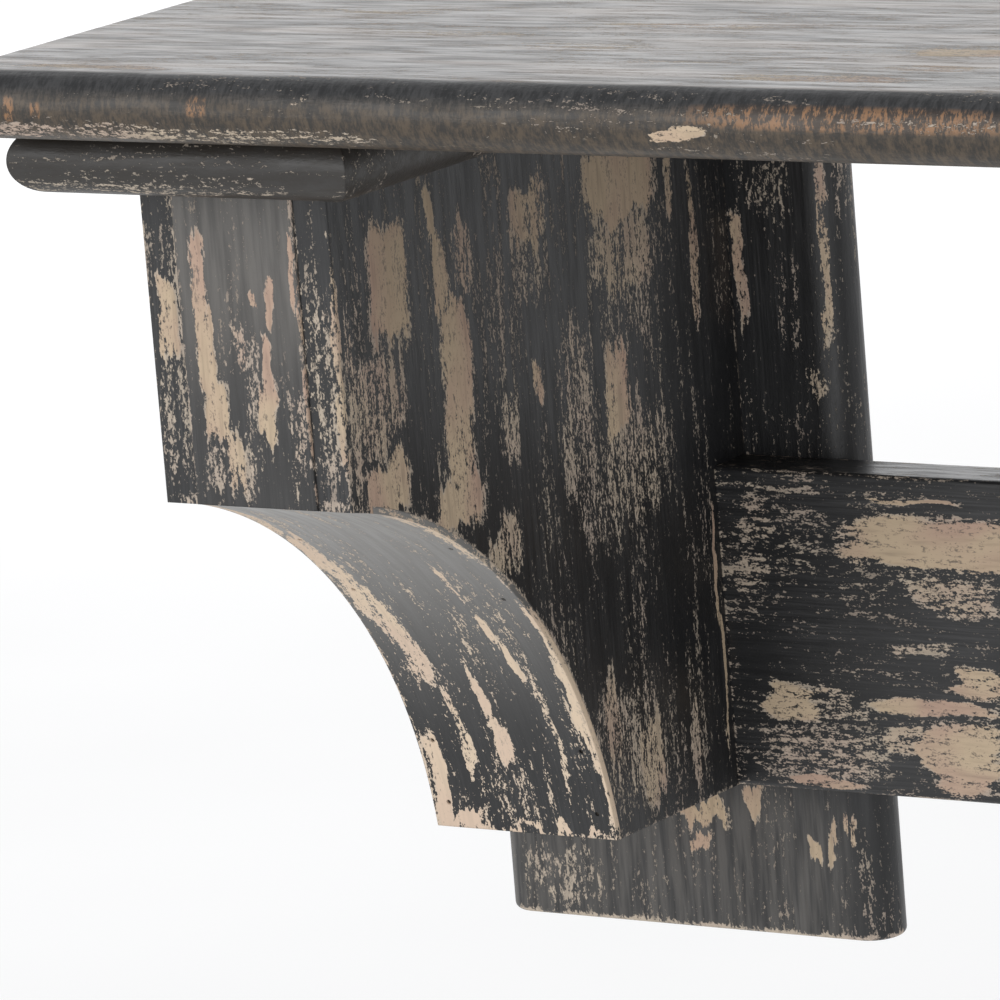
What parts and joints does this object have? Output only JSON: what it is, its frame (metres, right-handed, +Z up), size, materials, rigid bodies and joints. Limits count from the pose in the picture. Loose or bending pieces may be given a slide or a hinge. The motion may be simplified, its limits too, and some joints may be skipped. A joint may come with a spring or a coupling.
{
  "type": "wall shelf with brackets",
  "caption": "Long bullnosed wall shelf on box corbels with concave fronts, wide back plates and a frieze rail between them, in distressed black paint.",
  "frame": {"origin": "middle of the shelf board's back face, on the wall plane, half way up the board", "axes": "+X along the shelf to the right as seen from the room, +Y into the wall, +Z up"},
  "size_m": [0.914, 0.265, 0.299],
  "materials": {
    "shelf_paint": "distressed black paint over tan primer, worn through",
    "frieze_paint": "distressed black paint over tan primer, worn through",
    "cap_paint": "distressed black paint, edges rubbed",
    "plate_paint": "distressed black paint over tan primer",
    "cheek_paint": "distressed black paint over tan primer, worn through",
    "front_paint": "distressed charcoal paint over tan primer",
    "cove_paint": "distressed charcoal paint over tan primer",
    "bare_pine": "bare sawn pine",
    "beech_dowel": "bare beech",
    "zinc_plate": "bright zinc plated",
    "zinc_screw": "bright zinc plated",
    "wood_screw": "yellow zinc plated",
    "brad_steel": "dark bare steel"
  },
  "bodies": {
    "root": {"frieze_rail": "frieze_paint", "left_back_block": "bare_pine", "left_back_plate": "plate_paint", "left_brads": "brad_steel", "left_cap_board": "cap_paint", "left_cap_dowels": "beech_dowel", "left_cap_screws": "wood_screw", "left_cheek_inner": "cheek_paint", "left_cheek_outer": "cheek_paint", "left_cove_panel": "cove_paint", "left_foot_block": "bare_pine", "left_frieze_screws": "wood_screw", "left_front_board": "front_paint", "left_hanger": "zinc_plate", "left_hanger_screws": "zinc_screw", "left_plate_dowels": "beech_dowel", "left_plate_screws": "wood_screw", "left_top_block": "bare_pine", "right_back_block": "bare_pine", "right_back_plate": "plate_paint", "right_brads": "brad_steel", "right_cap_board": "cap_paint", "right_cap_dowels": "beech_dowel", "right_cap_screws": "wood_screw", "right_cheek_inner": "cheek_paint", "right_cheek_outer": "cheek_paint", "right_cove_panel": "cove_paint", "right_foot_block": "bare_pine", "right_frieze_screws": "wood_screw", "right_front_board": "front_paint", "right_hanger": "zinc_plate", "right_hanger_screws": "zinc_screw", "right_plate_dowels": "beech_dowel", "right_plate_screws": "wood_screw", "right_top_block": "bare_pine", "shelf_board": "shelf_paint"}
  },
  "joints": []
}
